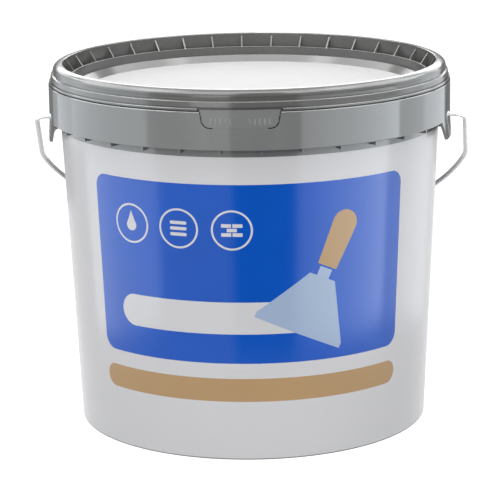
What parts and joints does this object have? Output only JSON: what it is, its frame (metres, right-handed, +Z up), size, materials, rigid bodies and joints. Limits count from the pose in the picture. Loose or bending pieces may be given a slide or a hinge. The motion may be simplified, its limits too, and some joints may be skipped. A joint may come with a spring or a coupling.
{
  "type": "wall filler tub",
  "caption": "Round tapered plastic tub of wall filler with a ribbed collar, press-on lid, tear tab, wrap label and swinging wire bail.",
  "frame": {"origin": "centre of the foot ring, on the floor", "axes": "+Z up the tub's axis, -Y to the front with the tear tab, X along the bail's pivots"},
  "size_m": [0.3652, 0.3355, 0.298],
  "materials": {
    "tub": "satin moulded polypropylene, grey",
    "tab": "satin moulded polypropylene, grey",
    "wrap_film": "white in-mould film with blue and tan print",
    "lid": "satin moulded polypropylene, grey",
    "lid_film": "white gloss film",
    "wire": "bright galvanised wire",
    "grip": "moulded grey tube",
    "paste": "off-white ready-mixed filler"
  },
  "bodies": {
    "tub": {"tub_body": "tub", "wrap_label": "wrap_film", "filler": "paste"},
    "tear_tab": {"tear_tab": "tab"},
    "lid": {"lid": "lid", "lid_label": "lid_film"},
    "bail": {"bail_wire": "wire"},
    "grip": {"bail_grip": "grip"}
  },
  "joints": [
    {"name": "lid_lift", "type": "slide", "parent": "tub", "child": "lid", "axis": [0, 0, 1], "range_m": [0, 0.12]},
    {"name": "tab_fold", "type": "hinge", "parent": "tub", "child": "tear_tab", "pos_m": [0, -0.16506, 0.27], "axis": [1, 0, 0], "range_deg": [0, 100]},
    {"name": "bail_swing", "type": "hinge", "parent": "tub", "child": "bail", "pos_m": [0, 0, 0.251], "axis": [1, 0, 0], "range_deg": [0, 256.8]},
    {"name": "grip_spin", "type": "hinge", "parent": "bail", "child": "grip", "pos_m": [0, 0.16042, 0.12362], "axis": [1, 0, 0], "continuous": true}
  ]
}
